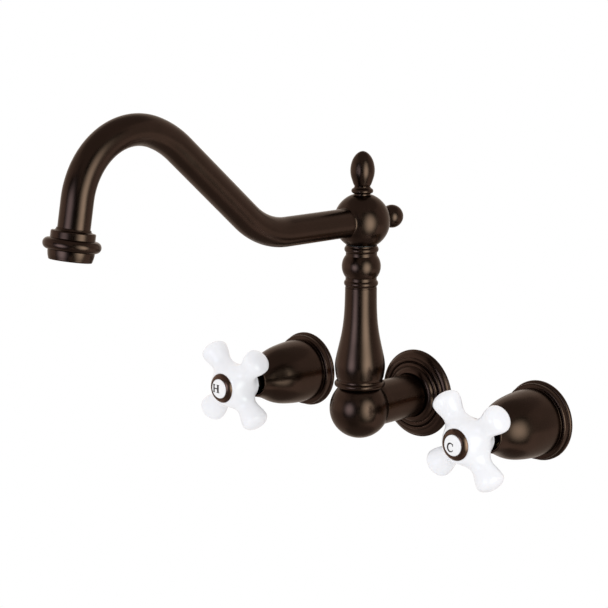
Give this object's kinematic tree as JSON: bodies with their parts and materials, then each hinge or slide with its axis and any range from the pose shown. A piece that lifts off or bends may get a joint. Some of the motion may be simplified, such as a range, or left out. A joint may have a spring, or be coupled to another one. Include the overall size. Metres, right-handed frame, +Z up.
{
  "type": "wall-mounted bath filler tap",
  "caption": "Wall-mounted roman tub faucet: a swivelling gooseneck spout on a vase-shaped column between hot and cold valves with bell escutcheons and white porcelain cross handles.",
  "frame": {"origin": "on the spout's axis in the plane of the finished wall, at the centre of the back face of the spout's wall flange", "axes": "+Y into the wall, so the spout reaches out along -Y; +X towards the cold valve, to the right of a user facing the wall; +Z up"},
  "size_m": [0.2612, 0.3767, 0.2449],
  "materials": {
    "bronze_dark": "dark oil-rubbed bronze plating over brass, satin",
    "porcelain": "white gloss glaze",
    "button_white": "white gloss with one dark index letter",
    "brass_cast": "rough cast and machined brass",
    "brass_turned": "turned brass",
    "copper_pipe": null,
    "steel_plate": "zinc-plated steel sheet",
    "steel_bright": "stainless steel",
    "rubber_black": "moulded rubber",
    "disc_ceramic": "lapped ceramic",
    "nylon": "black nylon",
    "aerator_plastic": "moulded plastic"
  },
  "bodies": {
    "root": {"bracket_screws": "steel_bright", "cold_bell": "bronze_dark", "cold_cartridge": "brass_turned", "cold_fixed_disc": "disc_ceramic", "cold_seat_seal": "rubber_black", "cold_transfer_pipe": "copper_pipe", "cold_valve_body": "brass_cast", "cold_wall_seal": "rubber_black", "column": "bronze_dark", "elbow_ball": "bronze_dark", "flange_ring": "rubber_black", "hot_bell": "bronze_dark", "hot_cartridge": "brass_turned", "hot_fixed_disc": "disc_ceramic", "hot_seat_seal": "rubber_black", "hot_transfer_pipe": "copper_pipe", "hot_valve_body": "brass_cast", "hot_wall_seal": "rubber_black", "mounting_bracket": "steel_plate", "neck": "bronze_dark", "spout_arm": "bronze_dark", "spout_flange": "bronze_dark", "spout_nipple": "brass_turned", "spout_tee": "brass_cast", "spout_wall_seal": "rubber_black", "swivel_post": "brass_turned", "swivel_rings": "rubber_black", "swivel_washer": "nylon"},
    "spout": {"swivel_ball": "bronze_dark", "spout_tube": "bronze_dark", "outlet_ferrule": "bronze_dark", "aerator_washer": "rubber_black", "aerator": "aerator_plastic", "aerator_screen": "steel_bright", "aerator_cup": "bronze_dark", "top_finial": "bronze_dark", "rear_knob": "bronze_dark"},
    "hot_handle": {"hot_moving_disc": "disc_ceramic", "hot_stem": "brass_turned", "hot_stem_rings": "rubber_black", "hot_stem_clip": "steel_bright", "hot_handle_core": "bronze_dark", "hot_porcelain_cross": "porcelain", "hot_handle_screw": "steel_bright", "hot_index_ring": "bronze_dark", "hot_index_button": "button_white"},
    "cold_handle": {"cold_moving_disc": "disc_ceramic", "cold_stem": "brass_turned", "cold_stem_rings": "rubber_black", "cold_stem_clip": "steel_bright", "cold_handle_core": "bronze_dark", "cold_porcelain_cross": "porcelain", "cold_handle_screw": "steel_bright", "cold_index_ring": "bronze_dark", "cold_index_button": "button_white"}
  },
  "joints": [
    {"name": "spout_swivel", "type": "hinge", "parent": "root", "child": "spout", "pos_m": [0, -0.0585, 0.10795], "axis": [0, 0, 1], "range_deg": [-90, 90]},
    {"name": "hot_handle_turn", "type": "hinge", "parent": "root", "child": "hot_handle", "pos_m": [-0.1016, -0.0725, 0], "axis": [0, -1, 0], "range_deg": [0, 90]},
    {"name": "cold_handle_turn", "type": "hinge", "parent": "root", "child": "cold_handle", "pos_m": [0.1016, -0.0725, 0], "axis": [0, 1, 0], "range_deg": [0, 90]}
  ]
}
